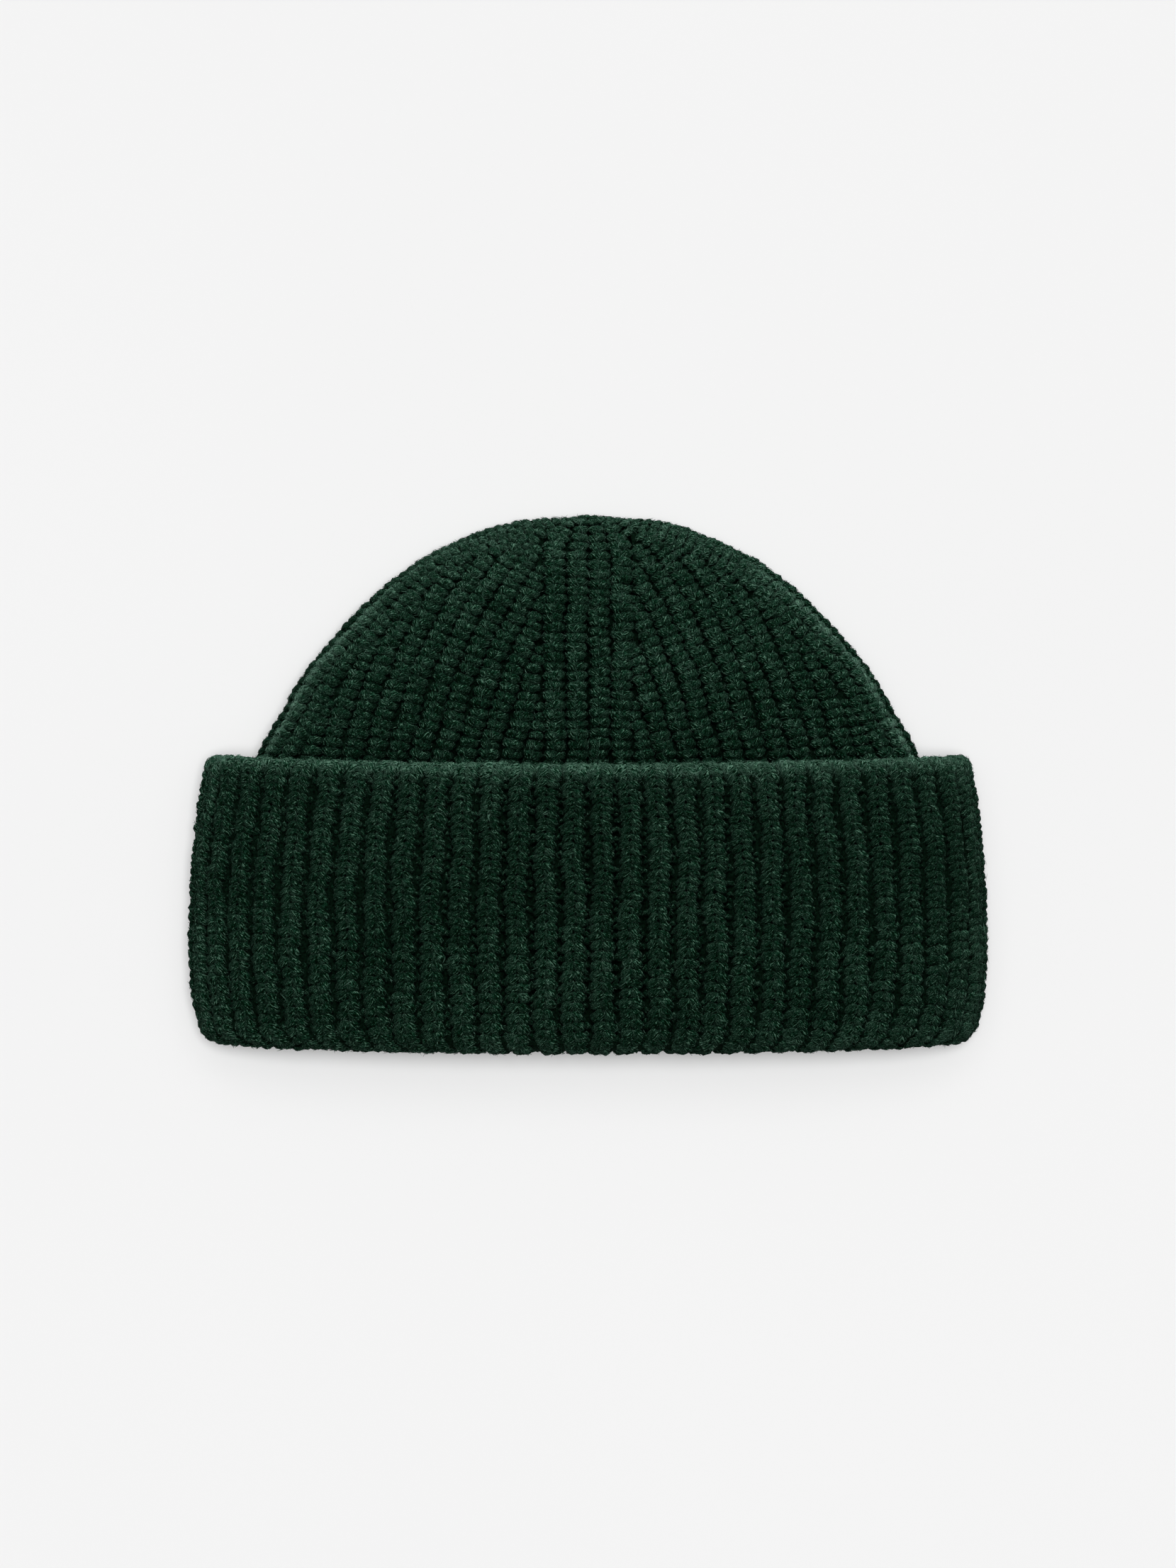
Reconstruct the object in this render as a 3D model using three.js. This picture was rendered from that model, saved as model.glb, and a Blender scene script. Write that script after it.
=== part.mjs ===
// Cuffed beanie in chunky rib knit, lying flat as it is laid on a table.
// Millimetres, +Z up. +X runs across the hat, and +Y from the rim to the tip of the crown.
// The origin lies on the table, under the middle of the hat's outline.
import * as THREE from "three";

// Driving sizes
const HAT_LENGTH = 162.5; // rim to tip of the crown
const HAT_HEIGHT = 50; // table to the top of the cuff
const CUFF_WIDTH = 240; // across the cuff where it is widest
const CUFF_HEIGHT = 87; // rim to the free edge of the cuff
const CUFF_WALL = 7.5; // the turned-up layer of knit, with its ribs
const CROWN_WALL = 5.5; // the layer of knit that the head goes into
const RIM_FOLD = 6; // how deep the rim is, where the knit turns up into the cuff
const CLEARANCE = 0.3; // between the cuff and the crown where they meet
const CUFF_BOW = 2.8; // how much nearer the tip the sides of the cuff lie than its middle
const SIDE_HEIGHT = 22; // table to the widest line of the hat
const TIP_HEIGHT = 11; // table to the tip of the crown
const SIDE_SLACK = 7.6; // air between crown and cuff at each side, at the cuff's free edge
const FACE_SLACK = 3; // air between crown and cuff above and below, at the cuff's free edge
const TABLE_PRESS = 0.5; // how far the soft underside is pressed flat where it rests
const YARN_COLOUR = 0x1b3a2f;
const RIB_RELIEF = 2.2; // crest of a rib to the bottom of the groove beside it
const EDGE_RELIEF = 0.8; // the same where the ribs spread at the cuff's free edge

// Ribs from the middle of a face to a side. The ribs of the two spines run to the tip, and
// those of the gore between them are cast off on the way. A rib's crest lies on each side.
const FACE_SPINE_RIBS = 2;
const GORE_RIBS = 11;
const SIDE_SPINE_RIBS = 2.5;
const QUARTER_RIBS = FACE_SPINE_RIBS + GORE_RIBS + SIDE_SPINE_RIBS;
const RIBS = Math.round(4 * QUARTER_RIBS);

// Where a rib's points stand across it, as shares of its width
const CREST_FROM = 0.2;
const CREST_TO = 0.8;
const STEEPEST_RIB = 0.3; // a rib's relief is never more than this share of its width

// The cuff's outer skin. along: share of its height. The rest: shares of the largest half
// width, of the rise above the widest line and of the drop below it.
const CUFF_SHAPE = [
  { along: 0.0, width: 0.965, rise: 0.93, drop: 0.99 },
  { along: 0.2, width: 0.992, rise: 0.98, drop: 1.0 },
  { along: 0.45, width: 1.0, rise: 1.0, drop: 1.0 },
  { along: 0.75, width: 0.987, rise: 0.985, drop: 1.0 },
  { along: 1.0, width: 0.96, rise: 0.95, drop: 0.99 },
];
const CUFF_SQUARE = 4.5; // how square the cuff's section is at its sides

// How much of the slack has opened between crown and cuff, by share of the cuff's height
const SLACK_SHAPE = [
  { along: 0.0, side: 0.0, face: 0.0 },
  { along: 0.25, side: 0.45, face: 0.3 },
  { along: 0.5, side: 0.62, face: 0.6 },
  { along: 0.75, side: 0.7, face: 0.85 },
  { along: 1.0, side: 1.0, face: 1.0 },
];

// The crown beyond the cuff. along: share of the way to the tip. width, rise: shares of their
// values at the cuff's edge. level: how far the widest line has come down to the tip's height.
// drop: share of the widest line's height. square: as for the cuff.
const CROWN_SHAPE = [
  { along: 0.17, width: 0.932, rise: 0.99, level: 0.14, drop: 0.82, square: 4.2 },
  { along: 0.35, width: 0.855, rise: 0.95, level: 0.32, drop: 1.0, square: 3.9 },
  { along: 0.52, width: 0.75, rise: 0.87, level: 0.5, drop: 1.03, square: 3.6 },
  { along: 0.68, width: 0.635, rise: 0.75, level: 0.64, drop: 1.0, square: 3.2 },
  { along: 0.81, width: 0.51, rise: 0.6, level: 0.77, drop: 0.92, square: 2.9 },
  { along: 0.91, width: 0.362, rise: 0.42, level: 0.88, drop: 0.7, square: 2.6 },
  { along: 0.975, width: 0.215, rise: 0.24, level: 0.96, drop: 0.42, square: 2.3 },
  { along: 1.0, width: 0.0, rise: 0.0, level: 1.0, drop: 0.0, square: 2.0 },
];
const UPPER_POWER = 2; // the upper half of a section is a round arch
const LOWER_POWER = 3; // the lower half is flatter, because it rests

// How finely the skins are cut
const ARC_STEPS = 120; // steps that measure the length of a quarter of a section
const CUFF_RINGS = 7; // ribbed rings up the outside of the cuff
const CROWN_RINGS = 13; // ribbed rings from inside the cuff's edge to the tip
const RIBS_START = 0.5; // rows of the slack's table that the crown's ribs go down inside the cuff
const WELD = 0.001; // points closer than this are one vertex

// A smooth curve through the rows of a table: for a value of along, all its other columns
function curveThrough(rows) {
  const names = Object.keys(rows[0]);
  const places = rows.map((row) => row.along);
  const values = rows.flatMap((row) => names.map((name) => row[name]));
  const curve = new THREE.CubicInterpolant(places, values, names.length);
  return (along) => {
    const found = curve.evaluate(along);
    return Object.fromEntries(names.map((name, i) => [name, found[i]]));
  };
}

// A section across the cuff, as the sizes of a flattened tube, this deep under its outer skin
const cuffShape = curveThrough(CUFF_SHAPE);

function cuffSection(y, depth) {
  const shape = cuffShape(y / CUFF_HEIGHT);
  return {
    y,
    width: (shape.width * CUFF_WIDTH) / 2 - depth,
    rise: shape.rise * (HAT_HEIGHT - SIDE_HEIGHT) - depth,
    drop: shape.drop * (SIDE_HEIGHT + TABLE_PRESS) - depth,
    level: SIDE_HEIGHT,
    square: CUFF_SQUARE,
    gore: GORE_RIBS,
  };
}

// The sections of the crown from the rim fold to the tip, this deep under its outer skin.
// Whole numbers are the rows of the two tables, and the cuff's edge is row CUFF_EDGE.
const CUFF_EDGE = SLACK_SHAPE.length - 1;
const CROWN_TIP = CUFF_EDGE + CROWN_SHAPE.length;

function crownSections(depth) {
  const start = RIM_FOLD + CLEARANCE;
  const inCuff = SLACK_SHAPE.map((slack) => {
    const y = start + slack.along * (CUFF_HEIGHT - start);
    const section = cuffSection(y, CUFF_WALL + CLEARANCE + depth);
    section.width -= slack.side * SIDE_SLACK;
    section.rise -= slack.face * FACE_SLACK;
    section.drop -= slack.face * FACE_SLACK;
    return section;
  });
  const edge = inCuff[CUFF_EDGE];
  const beyond = CROWN_SHAPE.map((shape) => {
    const level = THREE.MathUtils.lerp(SIDE_HEIGHT, TIP_HEIGHT, shape.level);
    const shell = 1 - depth / (SIDE_HEIGHT + TABLE_PRESS);
    return {
      y: CUFF_HEIGHT + shape.along * (HAT_LENGTH - depth - CUFF_HEIGHT),
      width: shape.width * edge.width,
      rise: shape.rise * edge.rise,
      drop: shape.drop * (level + TABLE_PRESS) * shell,
      level,
      square: shape.square,
      gore: Math.max(0, shape.width * QUARTER_RIBS - FACE_SPINE_RIBS - SIDE_SPINE_RIBS),
    };
  });
  return curveThrough([...inCuff, ...beyond].map((row, along) => ({ ...row, along })));
}

// Where a rib stands in a quarter that still holds this much of the gore, in ribs from the middle
// of the face. The ribs at both ends of the gore have run out against the spines.
function placeOf(rib, gore) {
  const lost = Math.max(0, GORE_RIBS - gore) / 2;
  const onFace = Math.min(rib, FACE_SPINE_RIBS);
  const inGore = THREE.MathUtils.clamp(rib - FACE_SPINE_RIBS, lost, GORE_RIBS - lost) - lost;
  const onSide = Math.max(0, rib - FACE_SPINE_RIBS - GORE_RIBS);
  return onFace + inGore + onSide;
}

// How far a turn round the hat is from the middle of the nearest face. Turns are counted in ribs,
// from the middle of the top face by the right side.
function ribAt(turn) {
  return Math.abs(turn - 2 * QUARTER_RIBS * Math.round(turn / (2 * QUARTER_RIBS)));
}

// A quarter of a section, from the middle of a face to a side: for a share of its length, the
// point there, as shares of the quarter's width and height
function quarterOf(width, height, square, power) {
  const lengths = [0];
  const points = [0, 1];
  for (let k = 1; k <= ARC_STEPS; k++) {
    const across = Math.sin((k / ARC_STEPS) * (Math.PI / 2));
    const up = (1 - across ** square) ** (1 / power);
    const [lastAcross, lastUp] = points.slice(-2);
    const step = Math.hypot((across - lastAcross) * width, (up - lastUp) * height);
    lengths.push(lengths.at(-1) + step + WELD / ARC_STEPS);
    points.push(across, up);
  }
  const curve = new THREE.LinearInterpolant(lengths, points, 2);
  return (share) => [...curve.evaluate(share * lengths.at(-1))];
}

// The skin of a section: the point at a turn round the hat, this deep under the crests
function skinOf(section) {
  const { y, width, rise, drop, level, square, gore } = section;
  const top = quarterOf(width, rise, square, UPPER_POWER);
  const bottom = quarterOf(width, drop, square, LOWER_POWER);
  return (turn, depth) => {
    const upper = Math.abs(turn - 2 * QUARTER_RIBS) > QUARTER_RIBS;
    const share = placeOf(ribAt(turn), gore) / placeOf(QUARTER_RIBS, gore);
    const [across, up] = (upper ? top : bottom)(share);
    const x = across * Math.max(0, width - depth);
    const z = up * Math.max(0, (upper ? rise : drop) - depth);
    const bow = CUFF_BOW * (x / (CUFF_WIDTH / 2)) ** 2;
    const side = turn < 2 * QUARTER_RIBS ? 1 : -1;
    return new THREE.Vector3(side * x, y + bow, Math.max(0, level + (upper ? z : -z)));
  };
}

// A ring of vertices with ribs: two on each crest and one in the groove after it. The groove is
// as deep as the relief, and stands further along the hat by the shift.
function ribbedRing(section, relief, shift = 0) {
  const skin = skinOf(section);
  const pitch = (section.width + section.rise) / placeOf(QUARTER_RIBS, section.gore);
  const deep = Math.min(relief, STEEPEST_RIB * pitch);
  const points = [];
  for (let rib = 0; rib < RIBS; rib++) {
    const [from, to] = [rib, rib + 1].map((n) => (n / RIBS) * 4 * QUARTER_RIBS);
    const ends = [from, to].map((turn) => placeOf(ribAt(turn), section.gore));
    const onSide = Math.abs(from + to - 4 * QUARTER_RIBS) === 2 * QUARTER_RIBS;
    const kept = onSide ? 1 : Math.min(1, Math.abs(ends[1] - ends[0]));
    for (const across of [CREST_FROM, CREST_TO])
      points.push(skin(THREE.MathUtils.lerp(from, to, across), deep * (1 - kept)));
    const groove = skin(to, deep);
    groove.y += shift;
    points.push(groove);
  }
  return points;
}

// A ring of vertices without relief, one on each rib
function plainRing(section) {
  const skin = skinOf(section);
  const points = [];
  for (let rib = 0; rib < RIBS; rib++)
    points.push(skin(((rib + 0.5) / RIBS) * 4 * QUARTER_RIBS, 0));
  return points;
}

// A closed body through rings of vertices, the last of which joins the first
function bodyThrough(rings) {
  const positions = [];
  const known = new Map();
  const vertex = (point) => {
    const key = point.toArray().map((v) => Math.round(v / WELD)).join();
    if (!known.has(key)) {
      known.set(key, known.size);
      positions.push(...point);
    }
    return known.get(key);
  };
  const numbered = rings.map((points) => points.map(vertex));
  const index = [];
  const triangle = (a, b, c) => {
    if (a !== b && b !== c && c !== a) index.push(a, b, c);
  };
  numbered.forEach((low, i) => {
    const high = numbered[(i + 1) % numbered.length];
    const count = Math.max(low.length, high.length);
    const pick = (ring, k) => ring[Math.floor(((k % count) * ring.length) / count)];
    for (let k = 0; k < count; k++) {
      triangle(pick(low, k), pick(low, k + 1), pick(high, k));
      triangle(pick(low, k + 1), pick(high, k + 1), pick(high, k));
    }
  });
  const geometry = new THREE.BufferGeometry();
  geometry.setAttribute("position", new THREE.Float32BufferAttribute(positions, 3));
  geometry.setIndex(index);
  geometry.computeVertexNormals();
  return geometry;
}

function knitMaterial() {
  return new THREE.MeshStandardMaterial({ color: YARN_COLOUR, roughness: 0.95, metalness: 0 });
}

// The cuff: one layer of knit up the outside, with the rim fold that meets the crown's edge
function makeCuff() {
  const round = CUFF_WALL / 2;
  const corner = round * (1 - Math.SQRT1_2);
  const lip = CUFF_WALL + CLEARANCE + CROWN_WALL;
  const lipCorner = (RIM_FOLD / 2) * (1 - Math.SQRT1_2);
  const shoulder = CUFF_HEIGHT - round;
  const ribbed = (y, depth, relief, shift) => ribbedRing(cuffSection(y, depth), relief, shift);
  const plain = (y, depth) => plainRing(cuffSection(y, depth));
  const rings = [];
  for (let i = 0; i < CUFF_RINGS; i++) {
    const y = THREE.MathUtils.lerp(round, shoulder, i / (CUFF_RINGS - 1));
    rings.push(ribbed(y, 0, i < CUFF_RINGS - 1 ? RIB_RELIEF : 2 * EDGE_RELIEF));
  }
  rings.push(ribbed(CUFF_HEIGHT - corner, corner, EDGE_RELIEF, -EDGE_RELIEF / 2));
  rings.push(ribbed(CUFF_HEIGHT, round, 0, -EDGE_RELIEF));
  rings.push(plain(CUFF_HEIGHT - corner, CUFF_WALL - corner));
  rings.push(plain(shoulder, CUFF_WALL));
  rings.push(plain((RIM_FOLD + shoulder) / 2, CUFF_WALL));
  rings.push(plain(RIM_FOLD, CUFF_WALL));
  rings.push(plain(RIM_FOLD, lip));
  rings.push(plain(RIM_FOLD / 2, lip));
  rings.push(plain(lipCorner, lip - lipCorner));
  rings.push(ribbed(0, (lip + round) / 2, 0, RIB_RELIEF));
  rings.push(ribbed(0, round, 0, RIB_RELIEF));
  rings.push(ribbed(corner, corner, RIB_RELIEF * Math.SQRT1_2, RIB_RELIEF * Math.SQRT1_2));
  const cuff = new THREE.Mesh(bodyThrough(rings), knitMaterial());
  cuff.name = "cuff";
  return cuff;
}

// The crown: the pocket for the head, from the rim fold up inside the cuff to the closed tip
function makeCrown() {
  const outer = crownSections(0);
  const inner = crownSections(CROWN_WALL);
  const rings = [];
  for (let row = 0; row < CUFF_EDGE; row++) rings.push(plainRing(outer(row)));
  for (let i = 0; i < CROWN_RINGS; i++) {
    const row = THREE.MathUtils.lerp(CUFF_EDGE - RIBS_START, CROWN_TIP, i / (CROWN_RINGS - 1));
    rings.push(ribbedRing(outer(row), RIB_RELIEF));
  }
  for (let row = CROWN_TIP; row >= 0; row--) rings.push(plainRing(inner(row)));
  const crown = new THREE.Mesh(bodyThrough(rings), knitMaterial());
  crown.name = "crown";
  return crown;
}

const hat = new THREE.Group();
hat.add(makeCuff(), makeCrown());
hat.position.y = -HAT_LENGTH / 2;

export default hat;
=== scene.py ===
"""The looks of a cuffed beanie: yarn stitches on soft shells, lying on a pale floor.

Metres. +X runs across the hat, +Y from the rim to the tip of the crown, +Z up from the floor.
Places round the hat are turns, counted in ribs from the middle of the top face by the right
side, so that a whole number is a groove and a half more is the crest of a rib.
"""
import math

import bpy
import numpy as np
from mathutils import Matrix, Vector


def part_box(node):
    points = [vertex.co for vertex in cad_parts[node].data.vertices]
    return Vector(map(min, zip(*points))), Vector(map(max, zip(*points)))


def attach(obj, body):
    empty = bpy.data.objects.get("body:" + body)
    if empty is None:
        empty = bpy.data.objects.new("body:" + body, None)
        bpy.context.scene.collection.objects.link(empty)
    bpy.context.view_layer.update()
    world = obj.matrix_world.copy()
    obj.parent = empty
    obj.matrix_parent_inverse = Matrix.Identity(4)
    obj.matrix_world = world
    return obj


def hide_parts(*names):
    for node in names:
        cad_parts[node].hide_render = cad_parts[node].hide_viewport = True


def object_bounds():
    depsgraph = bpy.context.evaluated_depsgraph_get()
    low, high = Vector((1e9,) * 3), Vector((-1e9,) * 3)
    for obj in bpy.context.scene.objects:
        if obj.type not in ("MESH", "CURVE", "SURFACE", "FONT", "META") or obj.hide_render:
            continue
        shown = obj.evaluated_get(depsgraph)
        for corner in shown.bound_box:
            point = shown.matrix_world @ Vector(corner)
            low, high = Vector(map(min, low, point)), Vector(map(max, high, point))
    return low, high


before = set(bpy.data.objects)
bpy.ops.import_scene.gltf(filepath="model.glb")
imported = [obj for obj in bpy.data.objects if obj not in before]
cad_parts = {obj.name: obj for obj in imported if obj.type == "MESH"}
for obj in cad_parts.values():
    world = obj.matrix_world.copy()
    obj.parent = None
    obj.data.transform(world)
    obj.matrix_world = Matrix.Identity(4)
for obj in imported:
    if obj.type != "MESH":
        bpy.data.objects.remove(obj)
cad_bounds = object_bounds()

MM = 0.001
TINY = 1e-9
RANDOM = np.random.default_rng(7)

# Driving sizes, from the frame where it has them
hat_low, hat_high = cad_bounds
HAT_LENGTH = hat_high[1] - hat_low[1]
HAT_HEIGHT = hat_high[2]
CUFF_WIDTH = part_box("cuff")[1][0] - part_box("cuff")[0][0]
CUFF_HEIGHT = 87 * MM  # rim to the free edge of the cuff
CUFF_WALL = 7.5 * MM  # the turned-up layer of knit
CROWN_WALL = 5.5 * MM  # the layer of knit that the head goes into
RIM_FOLD = 6 * MM  # how deep the rim is, where the knit turns up into the cuff
CLEARANCE = 0.3 * MM  # between the cuff and the crown where they meet
CUFF_BOW = 2.8 * MM  # how much nearer the tip the sides of the cuff lie than its middle
SIDE_HEIGHT = 22 * MM  # floor to the widest line of the hat
TIP_HEIGHT = 11 * MM  # floor to the tip of the crown
SIDE_SLACK = 7.6 * MM  # air between crown and cuff at each side, at the cuff's free edge
FACE_SLACK = 3 * MM  # air between crown and cuff above and below, at the cuff's free edge
TABLE_PRESS = 0.5 * MM  # how far the soft underside is pressed flat where it rests
RIM_SPREAD = 1.2 * MM  # how far the knit spreads at the rim's two corners
SPREAD_HEIGHT = 42 * MM  # height above the rim at which that has faded
INNER_EDGE = 7 * MM  # how far the stitches go down the inner side of the cuff's free edge
EDGE_ROUND = CUFF_WALL / 2  # radius of the cuff's free edge
SHOULDER = CUFF_HEIGHT - EDGE_ROUND  # height above the rim at which that rounding starts
RIM_LIP = CUFF_WALL + CLEARANCE + CROWN_WALL  # both layers of knit at the rim

# Ribs from the middle of a face to a side. The ribs of the two spines run to the tip, and
# those of the gore between them are cast off on the way. A rib's crest lies on each side.
FACE_SPINE_RIBS = 2
GORE_RIBS = 11
SIDE_SPINE_RIBS = 2.5
QUARTER_RIBS = FACE_SPINE_RIBS + GORE_RIBS + SIDE_SPINE_RIBS
HALF_RIBS = 2 * QUARTER_RIBS
RIBS = round(4 * QUARTER_RIBS)
RIGHT_RIBS = round(QUARTER_RIBS + 0.5)  # from the middle of the top face to the right side's


def table(names, *rows):
    """A short table as its named columns"""
    return dict(zip(names.split(), np.array(rows, float).T))


# The cuff's outer skin. along: share of its height. The rest: shares of the largest half
# width, of the rise above the widest line and of the drop below it.
CUFF_SHAPE = table(
    "along width rise drop",
    (0.0, 0.965, 0.93, 0.99),
    (0.2, 0.992, 0.98, 1.0),
    (0.45, 1.0, 1.0, 1.0),
    (0.75, 0.987, 0.985, 1.0),
    (1.0, 0.96, 0.95, 0.99),
)
CUFF_SQUARE = 4.5  # how square the cuff's section is at its sides

# How much of the slack has opened between crown and cuff, by share of the cuff's height
SLACK_SHAPE = table(
    "along side face",
    (0.0, 0.0, 0.0),
    (0.25, 0.45, 0.3),
    (0.5, 0.62, 0.6),
    (0.75, 0.7, 0.85),
    (1.0, 1.0, 1.0),
)

# The crown beyond the cuff. along: share of the way to the tip. width, rise: shares of their
# values at the cuff's edge. level: how far the widest line has come down to the tip's height.
# drop: share of the widest line's height. square: as for the cuff.
CROWN_SHAPE = table(
    "along width rise level drop square",
    (0.17, 0.932, 0.99, 0.14, 0.82, 4.2),
    (0.35, 0.855, 0.95, 0.32, 1.0, 3.9),
    (0.52, 0.75, 0.87, 0.5, 1.03, 3.6),
    (0.68, 0.635, 0.75, 0.64, 1.0, 3.2),
    (0.81, 0.51, 0.6, 0.77, 0.92, 2.9),
    (0.91, 0.362, 0.42, 0.88, 0.7, 2.6),
    (0.975, 0.215, 0.24, 0.96, 0.42, 2.3),
    (1.0, 0.0, 0.0, 1.0, 0.0, 2.0),
)
UPPER_POWER = 2  # the upper half of a section is a round arch
LOWER_POWER = 3  # the lower half is flatter, because it rests

# Places along the crown are counted in the rows of these two tables
CUFF_EDGE = len(SLACK_SHAPE["along"]) - 1
CROWN_TIP = CUFF_EDGE + len(CROWN_SHAPE["along"])

# How finely the skins are cut
COLUMNS_PER_RIB = 8
PLACE_STEP = 0.05
INNER_CUTS = 10
EDGE_CUTS = 17
FACE_CUTS = 100
RIM_CUTS = 25
ARC_POINTS = 161
ARC = np.sin(np.linspace(0, math.pi / 2, ARC_POINTS))  # these measure a quarter of a section
TURNS = np.arange(RIBS * COLUMNS_PER_RIB) / COLUMNS_PER_RIB

# Where the skins with stitches start and end inside the hat, as places
CROWN_START = CUFF_EDGE - 0.8
POCKET_START = 0.02
POCKET_END = CROWN_TIP - 0.1

# The yarn and its stitches
LEAST_WIDTH = 0.7  # of a rib, which one that runs out keeps
LEAST_LEFT = 0.22  # of a rib, at which it has run out and has no more stitches
TUCK = 2.4 * MM  # how far a rib that runs out sinks, for a whole rib's width
FULL_RIB = 6.6 * MM  # rib width at which the yarn has its full size
LEAST_SIZE = 0.62  # of the yarn, on narrow ribs
LARGEST_SIZE = 1.1  # on wide ones
RIB_ROUND = 3.5 * MM  # how far the rib's round crest falls to its groove
ROUND_SHARE = 1.13  # of the legs' reach, at which that round would stand upright
ROUND_LIMIT = 0.995  # of the way there
MIDDLE_GAP = 0.04  # of a rib, between its two columns of legs
LEG_WIDE = 0.68  # half width of a leg, in pitches of the rows
YARN_HIGH = 1.15 * MM  # half the yarn's thickness
BUMP_DEPTH = 2.35 * MM  # the middle of a bump under the skin
BUMP_SHARE = 0.92  # of the rows show their bump
BUMPS_FROM = 3  # mm past the cuff's free edge
BUMP_RIB = 0.9  # share of a rib's width from which it has bumps beside it
BUMP_WIDE = 0.36  # half width of a bump, in pitches of the rows
BUMP_HIGH = 0.85 * MM  # half its thickness
BUMP_SIDES = 5
BUMP_TONE = -0.06  # a bump is painted this much darker than its stitch, as painted shade in the groove
CAP = 0.5  # of a leg's half width, which its pointed end adds
GATHER = 0.72  # how much the ribs in the middle of a face draw together at the tip
GATHER_LENGTH = 22 * MM
GATHER_POWER = 1.5
GATHER_RIBS = 2.7  # from the middle of a face to where that has faded
WIDEST_GATHER = 1.15  # of its share, for a rib beside the gathered ones

# How uneven the knit is, as standard deviations, and as shares where they have no unit
YARN_ROUGH = 0.055  # of the yarn's radius
ROW_STRETCH = 0.012
ROW_STRAYS = 0.045  # of the pitch, along the rib
ROW_TONE = 0.025
REACH_VARIES = 0.09
SLOPE_VARIES = 0.15
SLOPE_STRAYS = 0.06
DEPTH_STRAYS = 0.14 * MM
PATH_STRAYS = 0.07 * MM
LEG_VARIES = 0.05  # thickness from leg to leg
THICK_VARIES = 0.06  # thickness along a leg
LEG_TONE = 0.035
BUMP_ALONG = 0.35  # of the pitch
BUMP_ACROSS = 0.2  # of a bump's own width
BUMP_STRAYS = 0.06  # of a rib
BUMP_DEPTH_STRAYS = 0.45 * MM
BUMP_PATH_STRAYS = 0.12 * MM
BUMP_VARIES = 0.14
BUMP_TONE_VARIES = 0.08
PATCH_TONE = 0.05  # of the slow patches over the hat, at their most
WANDER_WAVES = (11, 23, 47)  # mm, the waves that a rib strays in
WANDER_RIBS = (0.022, 0.03, 0.04)  # how far in each, in ribs

# Painted sheen: the stitches are painted palest, as a painted highlight, where the skin faces up
# by this much, along the sides of the crown, and the sides beyond that are painted a little
# darker, as painted shade
PAINTED_SHEEN_FACING = 0.58
PAINTED_SHEEN_WIDTH = 0.14
SIDE_PAINTED_SHADE_WIDTH = 0.36
SIDE_PAINTED_SHADE = 0.25

# A leg of a stitch. part: share of the way from the gap in the rib's middle to the leg's reach.
# along: share of its slope, towards the next row. sink: how far it dips, in mm. thick: of the
# yarn.
LEG = table(
    "part along sink thick",
    (0.0, -0.5, 0.38, 0.76),
    (0.2, -0.33, 0.1, 0.94),
    (0.52, 0.0, 0.0, 1.04),
    (0.84, 0.32, 0.25, 0.9),
    (1.0, 0.5, 0.95, 0.58),
)
LEG_MIDDLE = 2  # the row of this table at the middle of the leg

# The bump of yarn behind a stitch, in the groove. across: ribs from the groove's middle. along:
# pitches of the rows. sink, thick: as for a leg.
BUMP = table(
    "across along sink thick",
    (-0.09, 0.25, 0.5, 0.7),
    (0.0, 0.0, 0.0, 1.05),
    (0.09, 0.25, 0.5, 0.7),
)

# Rows of stitches. past: mm along the knit, which is down the outside from the cuff's free
# edge, up the crown from inside the cuff, or up the pocket from the rim. pitch: mm from row to
# row. slope: of the legs, as a share of the pitch. reach: of the legs from the rib's middle, in
# ribs. round: how much of RIB_ROUND there is. thick: of the yarn. inset: mm from the skin to
# the middle of the yarn, on the crest of a rib. tone: from 0, dark, to 1, pale. fold: how much
# paler, as painted sheen, the stitches are painted along the side folds, and how much darker,
# as painted shade, on the sides beyond them.
# On the cuff, the tone rises to 0.72 over the free edge and fades down the outside by 13 mm, as a
# painted highlight on the rounded edge
CUFF_ROWS = table(
    "past pitch slope reach round thick inset tone fold",
    (-20, 3.3, 0.9, 0.46, 0.6, 1.0, 0.5, 0.48, 0),
    (-3, 3.3, 0.95, 0.5, 0.42, 1.02, 0.5, 0.72, 0),
    (3, 3.2, 0.95, 0.49, 0.5, 1.02, 0.5, 0.72, 0.05),
    (7, 2.6, 0.85, 0.375, 0.95, 0.92, 0.6, 0.52, 0.1),
    (13, 2.2, 0.85, 0.328, 1.0, 0.9, 0.6, 0.41, 0.12),
    (45, 2.2, 0.85, 0.328, 1.0, 0.9, 0.6, 0.39, 0.12),
    (56, 2.9, 0.8, 0.332, 1.0, 0.89, 0.6, 0.41, 0.12),
    (78, 3.1, 0.8, 0.34, 1.0, 0.89, 0.6, 0.42, 0.12),
    (88, 3.1, 0.75, 0.345, 1.0, 0.9, 1.2, 0.47, 0.12),
    (110, 3.1, 0.75, 0.34, 1.0, 0.94, 1.2, 0.45, 0),
)
# On the crown, the tone is lowest just past the cuff, as painted shade, and rises towards the tip, as
# painted light
CROWN_ROWS = table(
    "past pitch slope reach round thick inset tone fold",
    (0, 3.05, 0.7, 0.335, 1.0, 0.97, 0.45, 0.34, 0.5),
    (15, 3.05, 0.7, 0.335, 1.0, 0.97, 0.45, 0.36, 0.55),
    (30, 3.05, 0.7, 0.335, 1.0, 0.97, 0.4, 0.41, 0.6),
    (70, 3.0, 0.75, 0.345, 1.0, 0.97, 0.3, 0.445, 0.5),
    (95, 2.9, 0.75, 0.38, 1.0, 0.98, 0.35, 0.54, 0.1),
)
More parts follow.
